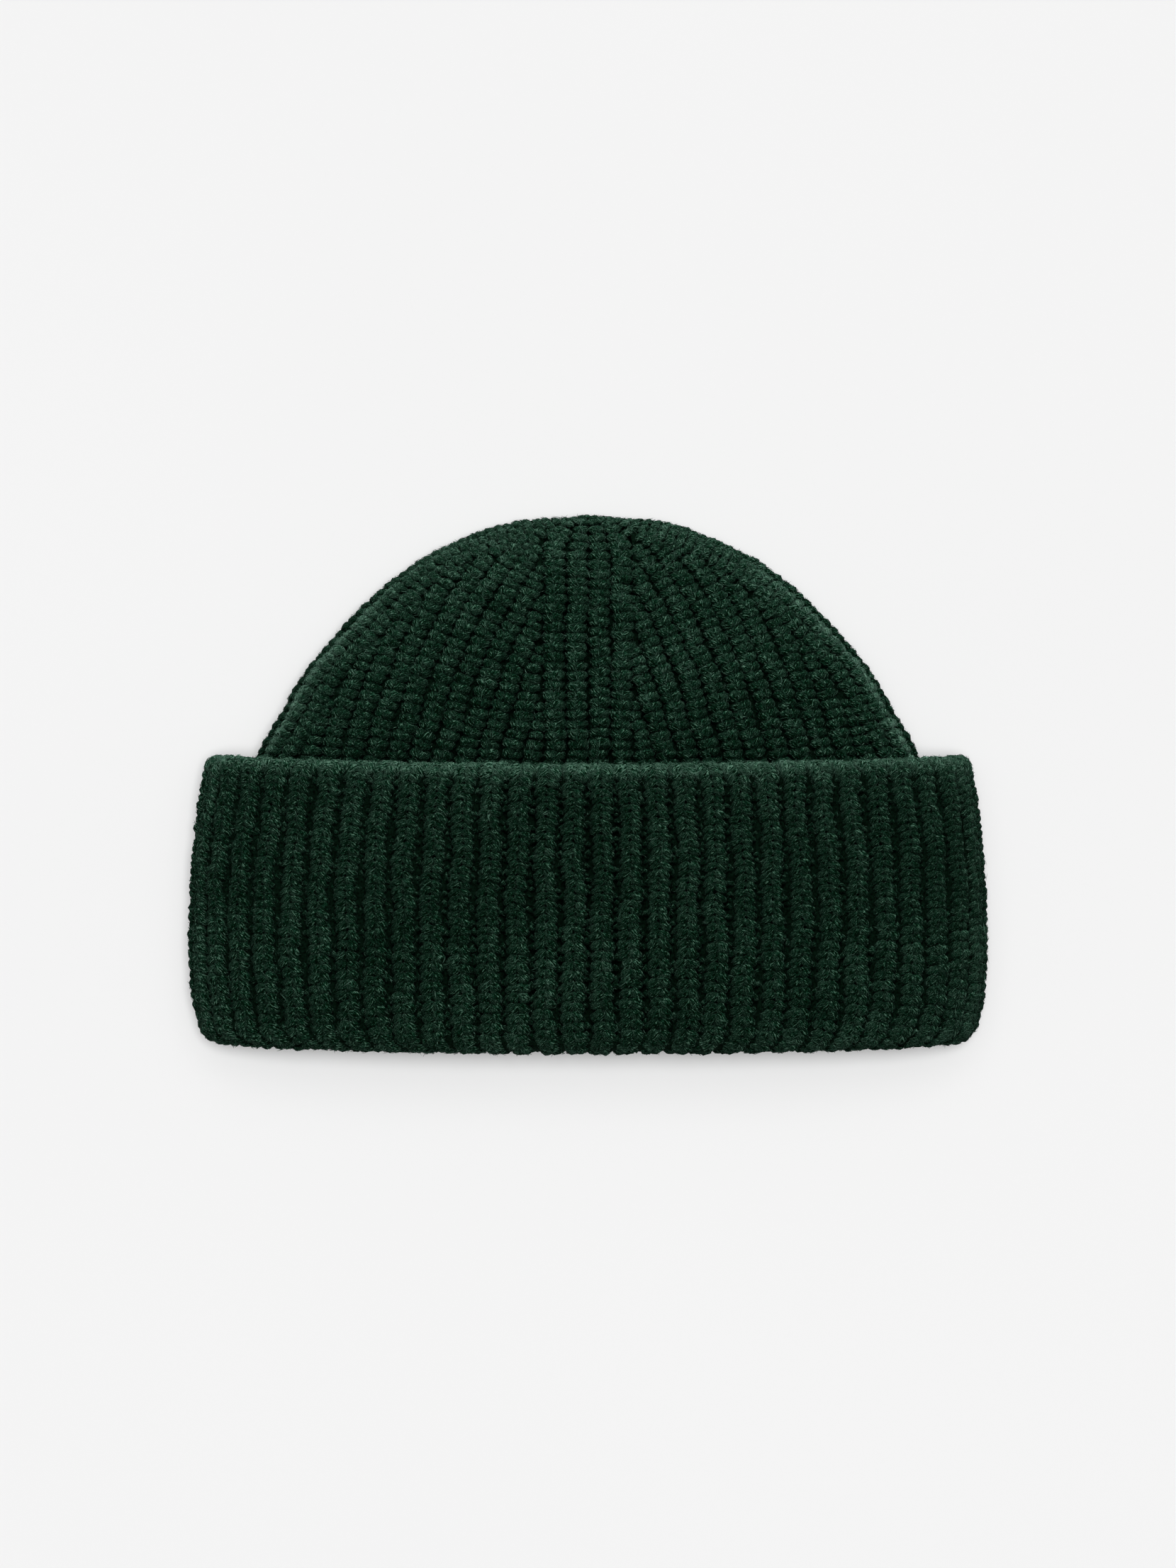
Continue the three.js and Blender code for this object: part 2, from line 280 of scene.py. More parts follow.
# In the pocket, the tone falls from the rim inwards, as painted shade deeper in the hollow
POCKET_ROWS = table(
    "past pitch slope reach round thick inset tone fold",
    (0, 3.1, 0.6, 0.42, 1.0, 0.9, 0.75, 0.45, 0),
    (60, 3.1, 0.6, 0.42, 1.0, 0.9, 0.75, 0.35, 0),
)
FIRST_CUFF_ROW = (1.2, 2.2)  # mm from the start of the skin, between these two
FIRST_CROWN_ROW = (0.8, 1.4)
ROW_MARGIN = 0.5 * MM  # free of stitches at the end of the cuff's skin and the pocket's start
TIP_MARGIN = 2.7 * MM  # free of them at the tip of the crown
POCKET_KNIT = 38 * MM  # how far up the pocket its stitches go

# Loose fibres. length, rise: of a fibre and of its ends above the yarn. turned: how far it
# turns from the yarn's line, in radians.
LONG_FIBRES = dict(length=2.0 * MM, rise=0.22 * MM, turned=1.1)
SHORT_FIBRES = dict(length=1.1 * MM, rise=0.12 * MM, turned=0.65)
STITCH_TO_GROOVE = 8  # how many times more short fibres the stitches have than the grooves
FIBRE_RADIUS = 0.08 * MM
FIBRE_SUNK = 0.15 * MM  # how far a fibre's ends lie in the yarn before they rise
FIBRE_ARCH = 0.1 * MM  # how far its middle stands off the yarn
FIBRE_REACH = 0.5 * MM  # how far along the yarn it may lie from the yarn's own points
TALLEST_FIBRE = 2.5  # the most that its ends rise, in rises
FIBRE_TONE = (0.03, 0.22)  # beyond the yarn's own tone: the mean, and its standard deviation
TONE_LIMITS = (0.02, 0.98)
PALE_SHARE = 0.4  # paler yarn has more fibres, by these two
PALE_POWER = 2.2

# How uneven the fibres are, as standard deviations
AROUND_YARN = 1.0  # radians from the top of the yarn
FIBRE_BEND = 0.02  # of half its length
LENGTH_VARIES = 0.35
RADIUS_VARIES = 0.3

# Shells under the stitches, painted much darker than the yarn, as painted shade in the gaps between
# the stitches
CREST_DEPTH = 1.5 * MM  # of the shell's ribs under the skin
TUCKED_DEPTH = CREST_DEPTH / 3  # of the crown's shell where the cuff hides it
RELIEF = 2.4 * MM  # crest of a rib to the groove beside it
CREST_POWER = 0.7  # below 1 for crests broader than the grooves
FULL_RISE = 10 * MM  # of the crown, from which its shell lies at its full depth
THIN_SHARE = 0.3  # of that depth, at the tip
SHELL_EDGE_CUTS = 9
SHELL_FACE_CUTS = 24
SHELL_RIM_CUTS = 11
HIDDEN_STEP = 0.5  # of places, inside the hat
OPEN_STEP = 0.25  # of places, outside


def smooth(places, values, place):
    """The values at a place, on a smooth curve through all of them"""
    slopes = np.gradient(values, places)
    i = np.clip(np.searchsorted(places, place, side="right") - 1, 0, len(places) - 2)
    step = places[i + 1] - places[i]
    t = np.clip((place - places[i]) / step, 0, 1)
    start = (1 + 2 * t) * (1 - t) ** 2 * values[i] + t * (1 - t) ** 2 * step * slopes[i]
    end = t * t * (3 - 2 * t) * values[i + 1] + t * t * (t - 1) * step * slopes[i + 1]
    return start + end


def cuff_section(y, depth, spread=0.0):
    """The cuff's section at a height above the rim, this deep under its skin, and wider by a
    spread that fades upwards"""
    shape = {k: smooth(CUFF_SHAPE["along"], v, y / CUFF_HEIGHT) for k, v in CUFF_SHAPE.items()}
    return dict(
        y=y,
        width=shape["width"] * CUFF_WIDTH / 2 - depth + spread * max(0, 1 - y / SPREAD_HEIGHT),
        rise=shape["rise"] * (HAT_HEIGHT - SIDE_HEIGHT) - depth,
        drop=shape["drop"] * (SIDE_HEIGHT + TABLE_PRESS) - depth,
        level=SIDE_HEIGHT,
        square=CUFF_SQUARE,
        gore=GORE_RIBS,
    )


def crown_table(depth):
    """The crown's sections from the rim fold to the tip, this deep under its skin, as columns"""
    start = RIM_FOLD + CLEARANCE
    rows = []
    for along, side, face in zip(*SLACK_SHAPE.values()):
        row = cuff_section(start + along * (CUFF_HEIGHT - start), CUFF_WALL + CLEARANCE + depth)
        row["width"] -= side * SIDE_SLACK
        row["rise"] -= face * FACE_SLACK
        row["drop"] -= face * FACE_SLACK
        rows.append(row)
    edge = rows[-1]
    shell = 1 - depth / (SIDE_HEIGHT + TABLE_PRESS)
    for along, width, rise, level, drop, square in zip(*CROWN_SHAPE.values()):
        height = SIDE_HEIGHT + level * (TIP_HEIGHT - SIDE_HEIGHT)
        rows.append(
            dict(
                y=CUFF_HEIGHT + along * (HAT_LENGTH - depth - CUFF_HEIGHT),
                width=width * edge["width"],
                rise=rise * edge["rise"],
                drop=drop * (height + TABLE_PRESS) * shell,
                level=height,
                square=square,
                gore=max(0, width * QUARTER_RIBS - FACE_SPINE_RIBS - SIDE_SPINE_RIBS),
            )
        )
    return {name: np.array([row[name] for row in rows]) for name in edge}


CROWN_OUTSIDE = crown_table(0)
CROWN_INSIDE = crown_table(CROWN_WALL)


def crown_section(place, sections=CROWN_OUTSIDE):
    """The crown's section at a place"""
    places = np.arange(CROWN_TIP + 1.0)
    return {name: smooth(places, values, place) for name, values in sections.items()}


def deeper(section, depth):
    """A section this much further in"""
    near = {name: max(0.0, section[name] - depth) for name in ("width", "rise", "drop")}
    return {**section, **near}


def cuff_sections():
    """Sections of the knit from the inner side of the cuff's free edge, over that edge, down
    the outside and round the rim to the start of the pocket"""
    inner = np.linspace(SHOULDER - INNER_EDGE, SHOULDER, INNER_CUTS)[:-1]
    path = [(y, CUFF_WALL) for y in inner]
    for angle in np.linspace(0, math.pi, EDGE_CUTS):
        path.append((SHOULDER + EDGE_ROUND * math.sin(angle), EDGE_ROUND * (1 + math.cos(angle))))
    path += [(y, 0) for y in np.linspace(SHOULDER, RIM_FOLD, FACE_CUTS)[1:]]
    for angle in np.linspace(0, math.pi, RIM_CUTS)[1:]:
        path.append((RIM_FOLD * (1 - math.sin(angle)), RIM_LIP / 2 * (1 - math.cos(angle))))
    return [cuff_section(y, depth, RIM_SPREAD) for y, depth in path]


def place_of(rib, gore):
    """Where a rib stands in a quarter that still holds this much of the gore, in whole ribs"""
    lost = np.maximum(0, GORE_RIBS - gore) / 2
    on_face = np.minimum(rib, FACE_SPINE_RIBS)
    in_gore = np.clip(rib - FACE_SPINE_RIBS, lost, GORE_RIBS - lost) - lost
    on_side = np.maximum(0, rib - FACE_SPINE_RIBS - GORE_RIBS)
    return on_face + in_gore + on_side


def rib_at(place, gore):
    """The rib at a place, where both have a sign: to the left or the right of a face's middle"""
    lost = np.maximum(0, GORE_RIBS - gore) / 2
    far = np.abs(place)
    in_gore = far > FACE_SPINE_RIBS
    on_side = far > FACE_SPINE_RIBS + np.minimum(gore, GORE_RIBS)
    return np.sign(place) * (far + lost * in_gore + lost * on_side)


def rib_of(turn):
    """How far a turn is from the middle of the nearest face"""
    return np.abs(turn - HALF_RIBS * np.round(turn / HALF_RIBS))


def ring(section, turns):
    """Points of a section's skin at these turns"""
    width, square = section["width"], section["square"]
    upper = np.abs(turns - HALF_RIBS) > QUARTER_RIBS
    share = place_of(rib_of(turns), section["gore"]) / place_of(QUARTER_RIBS, section["gore"])
    x = np.zeros(len(turns))
    z = np.zeros(len(turns))
    for half, height, power in (
        (upper, section["rise"], UPPER_POWER),
        (~upper, section["drop"], LOWER_POWER),
    ):
        up = (1 - ARC**square) ** (1 / power)
        steps = np.hypot(np.diff(ARC) * width, np.diff(up) * height) + TINY
        length = np.concatenate([[0], np.cumsum(steps)])
        x[half] = np.interp(share[half] * length[-1], length, ARC) * width
        z[half] = np.interp(share[half] * length[-1], length, up) * height
    z = np.maximum(0, section["level"] + np.where(upper, z, -z))
    x = np.where(turns < HALF_RIBS, x, -x)
    y = section["y"] + CUFF_BOW * (x / (CUFF_WIDTH / 2)) ** 2 + hat_low[1]
    return np.stack([x, y, z], 1)


def unit(vectors):
    """Vectors of length 1"""
    return vectors / np.maximum(np.linalg.norm(vectors, axis=-1, keepdims=True), TINY)


class Sheet:
    """A skin of the hat as a grid: rows along the knit, columns round it. outward is 1 where
    the rows run from tip to rim on the outside, or from rim to tip on the inside, and else -1.
    rib_width is square to the rib, and lean is how far a rib's width runs on along it.
    """

    def __init__(self, sections, outward):
        self.points = np.array([ring(section, TURNS) for section in sections])
        self.gore = np.array([section["gore"] for section in sections])
        around = np.roll(self.points, -1, 1) - np.roll(self.points, 1, 1)
        along = np.gradient(self.points, axis=0)
        self.normals = outward * unit(np.cross(along, around))
        per_rib = around * COLUMNS_PER_RIB / 2
        self.lean = (per_rib * unit(along)).sum(-1)
        self.rib_width = np.sqrt(np.maximum((per_rib**2).sum(-1) - self.lean**2, 0))
        steps = np.linalg.norm(np.diff(self.points, axis=0), axis=-1)
        self.lengths = np.vstack([np.zeros(len(TURNS)), np.cumsum(steps, 0)])

    def at(self, values, row, turn):
        """Values of the grid at rows and turns between its own"""
        row = np.clip(row, 0, len(self.points) - 1.001)  # so that there is a row beyond it
        column = np.mod(turn * COLUMNS_PER_RIB, len(TURNS))
        i, j = np.floor(row).astype(int), np.floor(column).astype(int)
        u, v = row - i, column - j
        k = (j + 1) % len(TURNS)
        j = j % len(TURNS)
        if values.ndim == 3:
            u, v = u[..., None], v[..., None]
        low = values[i, j] * (1 - v) + values[i, k] * v
        high = values[i + 1, j] * (1 - v) + values[i + 1, k] * v
        return low * (1 - u) + high * u

    def known(self, rib):
        """Lengths along the crest of a rib at each row"""
        return self.lengths[:, int((rib + 0.5) * COLUMNS_PER_RIB)]

    def row_at(self, rib, length):
        """Rows of the grid at lengths along a rib"""
        return np.interp(length, self.known(rib), np.arange(len(self.points)))

    def gore_at(self, rib, length):
        """How much of the gore is left at lengths along a rib"""
        return np.interp(length, self.known(rib), self.gore)

    def left(self, rib, length):
        """At lengths along a rib: its middle as a turn, its width and how much of that isn't
        cast off. A rib that runs out slides under the spine beside it."""
        lost = np.maximum(0, GORE_RIBS - self.gore_at(rib, length)) / 2
        face = HALF_RIBS * round((rib + 0.5) / HALF_RIBS)
        ends = np.sort([abs(rib - face), abs(rib + 1 - face)])
        if ends[0] >= FACE_SPINE_RIBS and ends[1] <= FACE_SPINE_RIBS + GORE_RIBS:
            low = np.maximum(ends[0], FACE_SPINE_RIBS + lost)
            high = np.minimum(ends[1], FACE_SPINE_RIBS + GORE_RIBS - lost)
        else:
            low, high = (np.full(len(length), end) for end in ends)
        left = np.clip(high - low, 0, 1)
        width = np.maximum(left, LEAST_WIDTH)
        middle = np.where(low > ends[0], high - width / 2, low + width / 2)
        hand = 1 if rib >= face else -1
        return rib + 0.5 + hand * (middle - ends.mean()), width, left


def mesh_object(name, points, quads, triangles, material, maps=None, rounded=True):
    """A mesh from arrays of points and of faces, and of map places for its points"""
    mesh = bpy.data.meshes.new(name)
    corners = np.concatenate([quads.ravel(), triangles.ravel()]).astype(np.int32)
    starts = np.arange(len(quads)) * 4
    starts = np.concatenate([starts, len(quads) * 4 + np.arange(len(triangles)) * 3])
    mesh.vertices.add(len(points))
    mesh.vertices.foreach_set("co", points.astype(np.float32).ravel())
    mesh.loops.add(len(corners))
    mesh.loops.foreach_set("vertex_index", corners)
    mesh.polygons.add(len(starts))
    mesh.polygons.foreach_set("loop_start", starts.astype(np.int32))
    mesh.polygons.foreach_set("use_smooth", np.full(len(starts), rounded))
    for map_name, places in (maps or {}).items():
        layer = mesh.uv_layers.new(name=map_name)
        layer.uv.foreach_set("vector", places[corners].astype(np.float32).ravel())
    mesh.update(calc_edges=True)
    mesh.validate()
    mesh.materials.append(material)
    piece = bpy.data.objects.new(name, mesh)
    bpy.context.scene.collection.objects.link(piece)
    return piece


class Legs:
    """Many lengths of yarn of one kind: their paths, the skin's normals there, their half
    widths along the skin and across it, and the tone of each"""

    NAMES = ("paths", "normals", "wide", "high", "tone")

    def __init__(self):
        self.parts = {name: [] for name in self.NAMES}

    def add(self, **arrays):
        """More lengths of yarn"""
        for name in self.NAMES:
            self.parts[name].append(arrays[name])

    def done(self):
        """All of them as arrays, with the yarn's own directions at each point"""
        for name in self.NAMES:
            setattr(self, name, np.concatenate(self.parts[name]))
        self.tangent = unit(np.gradient(self.paths, axis=1))
        self.side = unit(np.cross(self.tangent, self.normals))
        self.up = np.cross(self.side, self.tangent)
        return self


def tube_points(legs, sides):
    """Rings of points round each length of yarn, and a point at each of its ends"""
    count, steps = legs.wide.shape
    angle = math.pi / 2 + 2 * math.pi * np.arange(sides) / sides
    spread = np.cos(angle)[:, None] * legs.side[:, :, None] * legs.wide[..., None, None]
    lift = np.sin(angle)[:, None] * legs.up[:, :, None] * legs.high[..., None, None]
    rough = RANDOM.normal(1, YARN_ROUGH, (count, steps, sides, 1))
    rings = legs.paths[:, :, None] + (spread + lift) * rough
    rings = rings.reshape(count, steps * sides, 3)
    cap = legs.tangent * legs.wide[..., None] * CAP
    first = legs.paths[:, :1] - cap[:, :1]
    last = legs.paths[:, -1:] + cap[:, -1:]
    points = np.concatenate([rings, first, last], 1)
    points[..., 2] = np.maximum(points[..., 2], 0)
    return points


def tube_faces(count, steps, sides):
    """Quads round this many tubes, and the triangles that close their ends"""
    size = steps * sides + 2
    k, j = np.meshgrid(np.arange(steps - 1), np.arange(sides), indexing="ij")
    a = (k * sides + j).ravel()
    b = (k * sides + (j + 1) % sides).ravel()
    quads = np.stack([a, b, b + sides, a + sides], 1)
    j = np.arange(sides)
    n = (j + 1) % sides
    end = (steps - 1) * sides
    first = np.stack([np.full(sides, size - 2), n, j], 1)
    last = np.stack([np.full(sides, size - 1), end + j, end + n], 1)
    caps = np.concatenate([first, last])
    offset = (np.arange(count) * size)[:, None, None]
    return (quads + offset).reshape(-1, 4), (caps + offset).reshape(-1, 3)


YARN_MAP_ROUND = 6  # mm round a length of yarn, on the map Yarn
YARN_MAP_SHIFT = 1000  # mm, the furthest that a length of yarn is moved on it


def tubes(legs, sides):
    """Closed tubes along lengths of yarn, as points, quads, triangles and maps. The map Yarn
    is in millimetres along the yarn and round it, and the map Tone holds the tone."""
    count, steps = legs.wide.shape
    points = tube_points(legs, sides)
    quads, caps = tube_faces(count, steps, sides)
    size = points.shape[1]
    run = np.linalg.norm(np.diff(legs.paths, axis=1), axis=-1)
    run = np.concatenate([np.zeros((count, 1)), np.cumsum(run, 1)], 1) / MM
    along = np.concatenate([np.repeat(run, sides, 1), run[:, :1], run[:, -1:]], 1)
    around = np.tile(np.arange(sides) / sides, (count, steps))
    around = np.concatenate([around, np.full((count, 2), 0.5)], 1)
    shift = RANDOM.uniform(0, YARN_MAP_SHIFT, (count, 1))
    yarn_map = np.stack([along + shift, around * YARN_MAP_ROUND + shift], -1).reshape(-1, 2)
    tone_map = np.stack([np.repeat(legs.tone, size), np.zeros(count * size)], -1)
    return points.reshape(-1, 3), quads, caps, {"Yarn": yarn_map, "Tone": tone_map}


def fibres(legs, count, length, rise, turned):
    """Loose fibres on lengths of yarn: closed slivers of four faces, arched in the middle, with
    their ends standing off the yarn or back in it"""
    steps = legs.wide.shape[1]
    weight = legs.wide.max(1) ** 2 * (PALE_SHARE + legs.tone) ** PALE_POWER
    leg = RANDOM.choice(len(weight), count, p=weight / weight.sum())
    pick = (leg, RANDOM.integers(0, steps, count))
    angle = RANDOM.normal(math.pi / 2, AROUND_YARN, count)[:, None]
    out = np.cos(angle) * legs.side[pick] + np.sin(angle) * legs.up[pick]
    across = np.cross(out, legs.tangent[pick])
    foot = legs.paths[pick] + np.cos(angle) * legs.side[pick] * legs.wide[pick][:, None]
    foot = foot + np.sin(angle) * legs.up[pick] * legs.high[pick][:, None]
    foot = foot + legs.tangent[pick] * RANDOM.uniform(-FIBRE_REACH, FIBRE_REACH, (count, 1))
    swing = RANDOM.normal(0, turned, (count, 1))
    along = np.cos(swing) * legs.tangent[pick] + np.sin(swing) * across
    sideways = np.cos(swing) * across - np.sin(swing) * legs.tangent[pick]
    half = length * np.exp(RANDOM.normal(0, LENGTH_VARIES, (count, 1))) / 2
    stand = rise * RANDOM.exponential(1, (count, 2, 1)).clip(0, TALLEST_FIBRE) - FIBRE_SUNK
    start = foot - along * half + out * stand[:, 0]
    end = foot + along * half + out * stand[:, 1]
    bend = RANDOM.normal(0, FIBRE_BEND, (count, 1)) * half
    middle = foot + out * FIBRE_ARCH + sideways * bend
    radius = FIBRE_RADIUS * np.exp(RANDOM.normal(0, RADIUS_VARIES, (count, 1)))
    sides = np.stack([middle - radius * sideways, middle + radius * sideways])
    inward = (np.cross(sides[0] - start, sides[1] - start) * (end - start)).sum(-1) > 0
    sides = np.where(inward[:, None], sides[::-1], sides)
    points = np.stack([start, end, *sides], 1)
    points[..., 2] = np.maximum(points[..., 2], 0)
    faces = np.array([(0, 3, 2), (1, 2, 3), (0, 1, 3), (0, 2, 1)])
    triangles = (faces + (np.arange(count) * 4)[:, None, None]).reshape(-1, 3)
    tone = np.clip(legs.tone[leg] + RANDOM.normal(*FIBRE_TONE, count), *TONE_LIMITS)
    tone_map = np.stack([np.repeat(tone, 4), np.zeros(count * 4)], -1)
    return points.reshape(-1, 3), np.empty((0, 4), int), triangles, {"Tone": tone_map}


def wander(length):
    """How far a rib strays from its line, in ribs"""
    waves = zip(WANDER_WAVES, RANDOM.uniform(0, 2 * math.pi, 3), WANDER_RIBS)
    return sum(size * np.sin(2 * math.pi * length / (wave * MM) + p) for wave, p, size in waves)


def patches(points):
    """A slow change of tone over the hat, about -1 to 1, in waves of about 40 to 110 mm"""
    x, y, z = np.moveaxis(points / MM, -1, 0)
    fine = np.sin(x / 7.3 + 1.3 * np.sin(y / 9.1)) * np.sin(y / 6.1 + z / 5.3 + 1.1 * np.sin(x / 12.7))
    return (fine + np.sin(x / 17.9 - y / 14.3 + z / 11.7)) / 2


def course_of(sheet, rib, rows):
    """The rows of a rib with room for stitches, or None. New columns: spot and middle, the
    rib's middle as a place, with its sign, and as a turn. face: the turn of its face's middle.
    gore: how much of it is left. lean: as in Sheet. share: of a rib's width that the stitches
    take, and left: what isn't cast off. size and row_tone: of the yarn."""
    middle, share, left = sheet.left(rib, rows["length"])
    keep = left > LEAST_LEFT
    if not keep.any():
        return None
    course = {name: values[keep] for name, values in rows.items()}
    length = course["length"]
    share, left = share[keep], left[keep]
    middle = middle[keep] + wander(length) * left
    face = HALF_RIBS * np.round(middle / HALF_RIBS)
    gore = sheet.gore_at(rib, length)
    spot = np.sign(middle - face) * place_of(np.abs(middle - face), gore)
    near = (spot / GATHER_RIBS) ** 2
    drawn = course["gather"] * np.exp(-near)
    spot = spot * (1 - drawn)
    share = share * (1 - drawn * (1 - 2 * near)).clip(0, WIDEST_GATHER)
    middle = face + rib_at(spot, gore)
    row = sheet.row_at(rib, length)
    width = sheet.at(sheet.rib_width, row, middle) * share
    course.update(
        middle=middle,
        share=share,
        left=left,
        face=face,
        gore=gore,
        spot=spot,
        lean=sheet.at(sheet.lean, row, middle),
        size=np.clip(width / FULL_RIB, LEAST_SIZE, LARGEST_SIZE),
        row_tone=RANDOM.normal(0, ROW_TONE, len(middle)),
    )
    return course


def tone_with_painted_sheen(rows, normals):
    """The tone of stitches, with painted sheen where the skin turns down along the crown's sides and
    painted shade beyond
    """
    facing = normals[:, LEG_MIDDLE, 2]
    painted_sheen_mask = np.exp(-(((facing - PAINTED_SHEEN_FACING) / PAINTED_SHEEN_WIDTH) ** 2))
    painted_side_shade_mask = np.exp(-((facing / SIDE_PAINTED_SHADE_WIDTH) ** 2))
    # painted highlight along the side folds, less painted shade on the sides beyond them
    return rows["tone"] + rows["fold"] * (painted_sheen_mask - SIDE_PAINTED_SHADE * painted_side_shade_mask)


def add_legs(legs, sheet, rib, rows, hand):
    """The legs on one side of a rib's middle: hand is -1 or 1"""
    share, size, pitch = rows["share"], rows["size"], rows["pitch"]
    jitter = RANDOM.normal(0, 1, (len(share), 6))
    reach = rows["reach"] * (1 + REACH_VARIES * jitter[:, 0])
    across = MIDDLE_GAP + LEG["part"] * (reach - MIDDLE_GAP)[:, None]
    round_off = 1 - np.sqrt(1 - (across / reach.max() / ROUND_SHARE).clip(0, ROUND_LIMIT) ** 2)
    slope = rows["slope"] * (1 + SLOPE_VARIES * jitter[:, 1]) + SLOPE_STRAYS * jitter[:, 2]
    along = LEG["along"] * (slope * pitch)[:, None] * np.sqrt(size)[:, None]
    square = -hand * across * (share * rows["lean"])[:, None]
    length = (rows["length"] + ROW_STRAYS * pitch * jitter[:, 3])[:, None] + along + square
    row = sheet.row_at(rib, length)
    spots = rows["spot"][:, None] + hand * across * share[:, None]
    turn = rows["face"][:, None] + rib_at(spots, rows["gore"][:, None])
    normal = sheet.at(sheet.normals, row, turn)
    depth = rows["inset"][:, None] + RIB_ROUND * rows["round"][:, None] * round_off
    depth = depth + LEG["sink"] * MM
    depth = depth * size[:, None] - DEPTH_STRAYS * jitter[:, 4:5]
    depth = depth + TUCK * (share - rows["left"])[:, None]
    path = sheet.at(sheet.points, row, turn) - normal * depth[..., None]
    path = path + RANDOM.normal(0, PATH_STRAYS, path.shape) * size[:, None, None]
    thick = LEG["thick"] * (rows["thick"] * (1 + LEG_VARIES * jitter[:, 5]))[:, None]
    thick = thick * RANDOM.normal(1, THICK_VARIES, thick.shape)
    tone = rows["row_tone"] + RANDOM.normal(0, LEG_TONE, len(share))
    # the tone takes the painted sheen and painted side shade along the side folds
    tone = tone + PATCH_TONE * patches(path[:, LEG_MIDDLE]) + tone_with_painted_sheen(rows, normal)
    legs.add(
        paths=path,
        normals=normal,
        wide=LEG_WIDE * thick * (pitch * np.sqrt(size))[:, None],
        high=YARN_HIGH * thick * size[:, None],
        tone=tone,
    )


def add_bumps(bumps, sheet, rib, rows):
    """The bumps in the groove beside a rib, where its rows have them"""
    shown = (rows["bump"] > RANDOM.uniform(0, 1, len(rows["bump"]))) & (rows["left"] > BUMP_RIB)
    if not shown.any():
        return
    rows = {name: values[shown] for name, values in rows.items()}
    pitch = rows["pitch"][:, None]
    jitter = RANDOM.normal(0, 1, (len(pitch), 4))
    along = (BUMP["along"] + 0.5 + BUMP_ALONG * jitter[:, :1]) * pitch
    row = sheet.row_at(rib, rows["length"][:, None] + along)
    across = BUMP["across"] * (1 + BUMP_ACROSS * jitter[:, 1:2]) + BUMP_STRAYS * jitter[:, 2:3]
    turn = rows["middle"][:, None] + 0.5 + across
    normal = sheet.at(sheet.normals, row, turn)
    depth = BUMP_DEPTH + BUMP["sink"] * MM - BUMP_DEPTH_STRAYS * jitter[:, 3:4]
    path = sheet.at(sheet.points, row, turn) - normal * depth[..., None]
    thick = BUMP["thick"] * RANDOM.normal(1, BUMP_VARIES, path.shape[:2])
    bumps.add(
        paths=path + RANDOM.normal(0, BUMP_PATH_STRAYS, path.shape),
        normals=normal,
        wide=BUMP_WIDE * thick * pitch,
        high=BUMP_HIGH * thick,
        # bumps are painted darker than their stitches, as painted shade in the groove
        tone=rows["tone"] + BUMP_TONE + BUMP_TONE_VARIES * jitter[:, 0],
    )


def stitches(sheet, ribs, rows_of):
    """Pairs of legs along these ribs, and a bump beside each pair where the rows have bumps.
    rows_of(rib) gives the columns of the tables of rows, and length, along the rib."""
    legs, bumps = Legs(), Legs()
    for rib in ribs:
        rows = course_of(sheet, rib, rows_of(rib))
        if rows is None:
            continue
        for hand in (-1, 1):
            add_legs(legs, sheet, rib, rows, hand)
        add_bumps(bumps, sheet, rib, rows)
    return legs.done(), bumps.done() if bumps.parts["tone"] else None


# Materials
WOOL_COLOURS = (
    (0.1, (0.0001, 0.0034, 0.0009)),
    (0.42, (0.0014, 0.0162, 0.0069)),
    (0.68, (0.0098, 0.04, 0.0228)),
    (1.0, (0.075, 0.145, 0.104)),
)
FIBRE_COLOURS = (
    (0.1, (0.0005, 0.005, 0.002)),
    (0.5, (0.0095, 0.038, 0.022)),
    (0.9, (0.075, 0.145, 0.107)),
)
STREAK_STRETCH = (0.5, 2.4, 1)  # of the map Yarn, so that streaks run along the yarn
STREAK_SLANT = (0, 0, 0.3)  # its turn in radians, for the twist of the yarn
STREAK_CONTRAST = 4.7
SPECK_CONTRAST = 1.6
SPECK_HEIGHT = 0.4  # of a streak's
WOOL_LEVEL = -3.26  # brings the sum of tone, streaks and specks back to 0 to 1
WOOL_RELIEF = 0.35 * MM


def matt(name, roughness):
    """A new material that hardly shines, with its nodes, links and shader"""
    material = bpy.data.materials.new(name)
    material.use_nodes = True
    shader = material.node_tree.nodes["Principled BSDF"]
    shader.inputs["Roughness"].default_value = roughness
    shader.inputs["Specular IOR Level"].default_value = 0.02
    return material, material.node_tree.nodes, material.node_tree.links, shader


def noise(nodes, links, source, scale, detail):
    """Cloudy values at places"""
    texture = nodes.new("ShaderNodeTexNoise")
    texture.inputs["Scale"].default_value = scale
    texture.inputs["Detail"].default_value = detail
    links.new(source, texture.inputs["Vector"])
    return texture.outputs["Fac"]


def ramp(nodes, links, source, stops):
    """Colours along a value, from rows of place and colour"""
    node = nodes.new("ShaderNodeValToRGB")
    elements = node.color_ramp.elements
    while len(elements) < len(stops):
        elements.new(0.5)
    for element, (place, colour) in zip(elements, stops):
        element.position = place
        element.color = (*colour, 1)
    links.new(source, node.inputs["Fac"])
    return node.outputs["Color"]


def added(nodes, links, value, factor, base):
    """value times factor, plus base"""
    node = nodes.new("ShaderNodeMath")
    node.operation = "MULTIPLY_ADD"
    node.inputs[1].default_value = factor
    links.new(value, node.inputs[0])
    if isinstance(base, float):
        node.inputs[2].default_value = base
    else:
        links.new(base, node.inputs[2])
    return node.outputs["Value"]


def tone_value(nodes, links):
    """The tone that the map Tone holds"""
    uv = nodes.new("ShaderNodeUVMap")
    uv.uv_map = "Tone"
    parts = nodes.new("ShaderNodeSeparateXYZ")
    links.new(uv.outputs["UV"], parts.inputs["Vector"])
    return parts.outputs["X"]


